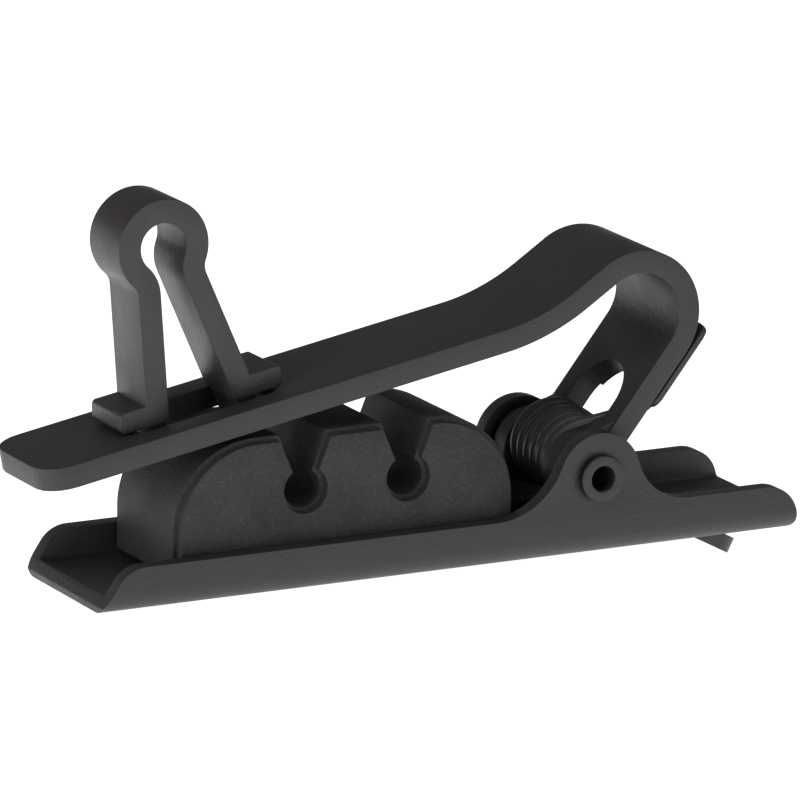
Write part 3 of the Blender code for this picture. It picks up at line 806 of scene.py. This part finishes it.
def loop_side(thickness, side):
    """One side of the ring and leg in (x, z), from the ring's top to the foot's level."""
    radius = LOOP_RADIUS + thickness
    neck = LOOP_NECK_RADIUS - thickness
    sideways = LOOP_NECK_OFFSET + LOOP_NECK_RADIUS
    down = math.sqrt((radius + neck) ** 2 - sideways ** 2)
    cos, sin = math.cos(LOOP_SPLAY), math.sin(LOOP_SPLAY)
    centre = (down * cos - sideways * sin, down * sin + sideways * cos)
    meet = math.atan2(centre[1], centre[0])
    ring = arc((0, 0), radius, math.pi, meet)
    bend = arc(centre, neck, meet - math.pi, LOOP_SPLAY - math.pi / 2)
    return [loop_point(along, across * side) for along, across in ring + bend[1:]]


def on_jaw(x, lift):
    """A point above the jaw's top face, or below it for a negative lift."""
    return (x, jaw_top_z(x) + lift)


def leg_at_height(side, thickness, lift):
    """Where a leg's face crosses a line parallel to the jaw's top, lifted above it."""
    end = loop_side(thickness, side)[-1]
    angle = LOOP_TILT + side * LOOP_SPLAY
    step = (math.sin(angle), -math.cos(angle))
    drop = end[1] - jaw_top_z(end[0]) - lift
    travel = drop / (math.tan(JAW_SLOPE) * step[0] - step[1])
    return (end[0] + step[0] * travel, end[1] + step[1] * travel)


print("ring", round(2 * LOOP_RADIUS - LOOP_STRIP, 2), "mm inside")

# %% Feet and hooks
FOOT_THICKNESS = 1.08
FOOT_CORNER = 0.25
HOOK_THINNER = 0.1           # on each face, so that no face of it lies in a leg's face
HOOK_TOP = 0.9               # it starts this far above the jaw, inside the leg
HOOK_REACH = 0.7
LEGS = (
    # side, far end of the foot in x, thickness of the hook
    (-1, 2.3, 0.5),
    (1, 11.2, 0.16),
)


def loop_outline():
    """Closed outline of the ring, the legs and the feet."""
    half = LOOP_STRIP / 2
    low = FIT_GAP
    high = FIT_GAP + FOOT_THICKNESS
    sides = []
    for side, foot_x, _ in LEGS:
        foot = rounded([(*leg_at_height(side, half, high), 0),
                        (*on_jaw(foot_x, high), FOOT_CORNER),
                        (*on_jaw(foot_x, low), FOOT_CORNER),
                        (*leg_at_height(side, -half, low), 0)], closed=False)
        sides.append((loop_side(-half, side), loop_side(half, side), foot))
    (left_in, left_out, left_foot), (right_in, right_out, right_foot) = sides
    return (left_out + left_foot + left_in[::-1] + right_in[1:] + right_foot[::-1]
            + right_out[::-1][:-1])


def hook_outline(side, drop):
    """Closed outline of one hook, which goes down through the jaw and turns outwards."""
    thin = LOOP_STRIP / 2 - HOOK_THINNER
    under = -JAW_SHEET / math.cos(JAW_SLOPE) - FIT_GAP
    reach = leg_at_height(side, thin, under)[0] + side * HOOK_REACH
    return [leg_at_height(side, -thin, HOOK_TOP), leg_at_height(side, -thin, under - drop),
            on_jaw(reach, under - drop), on_jaw(reach, under),
            leg_at_height(side, thin, under), leg_at_height(side, thin, HOOK_TOP)]


print("loop outline:", len(loop_outline()), "points")

# %% Microphone loop
LOOP_WIDTH = 3.45
HOOK_NARROWER = 0.2          # on each side of the strip
LOOP_EDGE = 0.16


def mic_loop():
    half = LOOP_WIDTH / 2
    item = prism("mic_loop", loop_outline(), "Y", -half, half)
    half -= HOOK_NARROWER
    for side, _, drop in LEGS:
        hook = prism("loop_hook", hook_outline(side, drop), "Y", -half, half)
        combine(item, hook, "UNION")
    soften(item, LOOP_EDGE)
    return item


bake(mic_loop(), "jaw", "mic_loop", loop_coat)

# %% [markdown]
# ## The pin
# The pin is a tubular rivet: a hollow shank whose ends are flared into a rim outside
# each ear. Spinning its section would do, but four plain discs say more clearly which
# part has which size.

# %% Pivot pin
PIN_RADIUS = 0.88
PIN_BORE = 0.66
PIN_SHORT = 0.05             # the shank stops this far inside the face of each rim
BORE_CUT = 7.0               # half the length of the bore's cut
RIVET_RADIUS = 1.2
RIVET_THICKNESS = 0.22
RIVET_EDGE = 0.07


def pivot_pin():
    outside = BASE_WIDTH / 2 + FIT_GAP
    end = outside + RIVET_THICKNESS
    pin = disc("pivot_pin", PIVOT, PIN_RADIUS, -end + PIN_SHORT, end - PIN_SHORT, sides=24)
    for low, high in both_sides(outside, end):
        combine(pin, disc("rivet_rim", PIVOT, RIVET_RADIUS, low, high, sides=32), "UNION")
    bore = disc("rivet_bore", PIVOT, PIN_BORE, -BORE_CUT, BORE_CUT, sides=20)
    combine(pin, bore, "DIFFERENCE")
    soften(pin, RIVET_EDGE)
    return pin


bake(pivot_pin(), "base", "pivot_pin", dark_rivet)

# %% [markdown]
# ## The spring
# The spring is a round wire wound around the pin. One arm lies on the back of the leg
# and the other on the floor of the tail. A curve with a round bevel could make the
# wire; a `tube` carries one side direction along, so the wire never twists on itself.

# %% Route of the wire
WIRE_RADIUS = 0.31
COIL_RADIUS = 1.98           # middle of the wire
COIL_NEAR = (28.4, 4.15)     # the coil leans: its two ends have different centres
COIL_FAR = (28.2, 4.6)
COIL_TURNS = 5
COIL_PITCH = 0.63
COIL_STEPS = 18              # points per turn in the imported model
ARM_UP = math.radians(8.0)
ARM_DOWN = math.radians(8.5)
ARM_REACH = 8.3              # how far up the leg the wire lies
ARM_BEND = 1.0
ARM_END_GAP = 0.6            # the lower arm stops this far before the tongue


def coil_points():
    """Middle line of the turns, from the near side to the far side."""
    first = math.pi / 2 + ARM_UP
    last = 3 * math.pi / 2 - ARM_DOWN + 2 * math.pi * COIL_TURNS
    turns = (last - first) / (2 * math.pi)
    width = turns * COIL_PITCH
    steps = math.ceil(turns * COIL_STEPS / FINE)
    coil = []
    for i in range(steps + 1):
        share = i / steps
        angle = first + (last - first) * share
        x = COIL_NEAR[0] + (COIL_FAR[0] - COIL_NEAR[0]) * share + COIL_RADIUS * math.cos(angle)
        z = COIL_NEAR[1] + (COIL_FAR[1] - COIL_NEAR[1]) * share + COIL_RADIUS * math.sin(angle)
        coil.append(Vector((x, width * (share - 0.5), z)))
    return coil


def spring_route():
    """Down the leg's back, into the coil, and out to the tail floor."""
    coil = coil_points()
    back = leg_middle() + JAW_SHEET / 2 + 2 * PLATE_GAP + PLATE_SHEET + WIRE_RADIUS
    leave = Vector((coil[0].x, coil[0].z))
    heading = Vector((math.cos(ARM_UP), math.sin(ARM_UP)))
    gap = back - (leave - Vector(PIVOT)).dot(Vector(LEG_BACK))
    corner = leave + heading * gap / heading.dot(Vector(LEG_BACK))
    upper = rounded([(*up_leg(ARM_REACH, back), 0), (*corner, ARM_BEND), (*leave, 0)],
                    closed=False, step=math.radians(12))
    run = TONGUE_ROOT - ARM_END_GAP - coil[-1].x
    foot = coil[-1] + Vector((run, 0, -run * math.tan(ARM_DOWN)))
    return [Vector((x, coil[0].y, z)) for x, z in upper[:-1]] + coil + [foot]


print("wire:", len(spring_route()), "points")

# %% Torsion spring
WIRE_SIDES = 20


def tube(name, route, radius, sides):
    """A round wire along a list of 3D points, closed at both ends."""
    def build(bm):
        rings = []
        side = Vector((0, 1, 0))
        for i, point in enumerate(route):
            ahead = route[min(i + 1, len(route) - 1)] - route[max(i - 1, 0)]
            ahead.normalize()
            side = (side - ahead * side.dot(ahead)).normalized()
            up = ahead.cross(side)
            ring = []
            for k in range(sides):
                angle = 2 * math.pi * k / sides
                spot = point + (side * math.cos(angle) + up * math.sin(angle)) * radius
                ring.append(bm.verts.new(spot * MM))
            rings.append(ring)
        join_rings(bm, rings)
    return make_object(name, build)


wire = tube("wire", spring_route(), WIRE_RADIUS, WIRE_SIDES)
spring = bake(wire, None, "torsion_spring", blackened_steel)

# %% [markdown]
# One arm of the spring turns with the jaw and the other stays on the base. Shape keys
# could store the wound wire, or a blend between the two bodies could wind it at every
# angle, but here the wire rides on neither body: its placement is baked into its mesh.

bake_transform(spring)

# %% [markdown]
# ## Studio
# The clip lies on a plain pale floor that glows a little, so that it stays an even pale
# tone in every view, and the Standard view transform keeps it so. A sky image could
# light the clip, but three soft lights are easier to aim: a large one on the left
# brightens the faces of the loop, a broad one overhead draws the highlights along the
# edges, and a weak one in front keeps the near faces from going black.

# %% Floor and backdrop
WORLD_STRENGTH = 0.16
FLOOR_GLOW = 0.95
FLOOR_HALF = 3.0             # metres
FLOOR_DROP = 0.00002         # metres below the lowest point of the clip


def studio_floor(height):
    mesh = bpy.data.meshes.new("floor")
    corners = ((-1, -1), (1, -1), (1, 1), (-1, 1))
    mesh.from_pydata([(x * FLOOR_HALF, y * FLOOR_HALF, height) for x, y in corners], [],
                     [(0, 1, 2, 3)])
    paint = bpy.data.materials.new("pale_floor")
    paint.use_nodes = True
    shader = paint.node_tree.nodes["Principled BSDF"]
    shader.inputs["Base Color"].default_value = (0.9, 0.9, 0.9, 1)
    shader.inputs["Roughness"].default_value = 0.9
    shader.inputs["Emission Color"].default_value = (1, 1, 1, 1)
    shader.inputs["Emission Strength"].default_value = FLOOR_GLOW
    mesh.materials.append(paint)
    item = bpy.data.objects.new("floor", mesh)
    bpy.context.collection.objects.link(item)
    item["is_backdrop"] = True
    return item


floor = studio_floor(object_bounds()[0][2] - FLOOR_DROP)
bpy.context.scene.view_settings.view_transform = "Standard"
world = bpy.data.worlds.new("studio")
bpy.context.scene.world = world
world.use_nodes = True
backdrop = world.node_tree.nodes["Background"]
backdrop.inputs["Color"].default_value = (1, 1, 1, 1)
backdrop.inputs["Strength"].default_value = WORLD_STRENGTH
print("floor at", round(floor.data.vertices[0].co.z / MM, 2), "mm")

# %% [markdown]
# Area lights give soft edges to the highlights, as a studio's light boxes do. Their
# power looks tiny because the whole set is only a few hundred millimetres across.

# %% Lights
LIGHTS = (
    # name, place, aim and size in millimetres, power in watts
    ("left soft light", (-190, -30, 60), (0, 0, 6), (150, 150), 0.17),
    ("overhead soft light", (10, -60, 220), (0, 0, 0), (200, 120), 0.11),
    ("front fill", (60, -260, 40), (0, 0, 6), (240, 120), 0.09),
)


def area_light(name, place_mm, aim_mm, size_mm, power):
    lamp = bpy.data.lights.new(name, "AREA")
    lamp.shape = "RECTANGLE"
    lamp.size = size_mm[0] * MM
    lamp.size_y = size_mm[1] * MM
    lamp.energy = power
    item = bpy.data.objects.new(name, lamp)
    bpy.context.collection.objects.link(item)
    item.location = Vector(place_mm) * MM
    aim = Vector(aim_mm) - Vector(place_mm)
    item.rotation_euler = aim.to_track_quat("-Z", "Y").to_euler()
    item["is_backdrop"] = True


for light in LIGHTS:
    area_light(*light)
print("lights:", len(LIGHTS))

# %% [markdown]
# ## Camera
# A long lens from half a metre away keeps the edges of a small object nearly parallel.
# The camera could be aimed with a Track To constraint; its three directions are worked
# out here instead, so that the slight roll is exact.

# %% Camera
def set_camera(aim_mm, azimuth, elevation, roll, distance_mm, lens, shift):
    """Look at a point from a distance; the roll turns the picture clockwise."""
    turn = math.radians(azimuth)
    lift = math.radians(elevation)
    tilt = math.radians(roll)
    ahead = Vector((-math.sin(turn) * math.cos(lift), math.cos(turn) * math.cos(lift),
                    -math.sin(lift)))
    level = Vector((math.cos(turn), math.sin(turn), 0))
    upright = level.cross(ahead)
    right = level * math.cos(tilt) + upright * math.sin(tilt)
    up = upright * math.cos(tilt) - level * math.sin(tilt)
    camera = bpy.data.objects.new("camera", bpy.data.cameras.new("camera"))
    bpy.context.collection.objects.link(camera)
    camera.data.lens = lens
    camera.data.sensor_width = 36
    camera.data.shift_x, camera.data.shift_y = shift
    camera.data.clip_start = 0.01
    camera.data.clip_end = 10
    place_m = (Vector(aim_mm) - ahead * distance_mm) * MM
    turned = Matrix((right, up, -ahead)).transposed().to_4x4()
    camera.matrix_world = Matrix.Translation(place_m) @ turned
    bpy.context.scene.camera = camera
    return camera


camera = set_camera(aim_mm=(4.86, 0, 6.0), azimuth=-27.12, elevation=14.41, roll=0.45,
                    distance_mm=463.6, lens=411.8, shift=(0.0042, 0.0486))
print("camera at", tuple(round(c, 3) for c in camera.location))
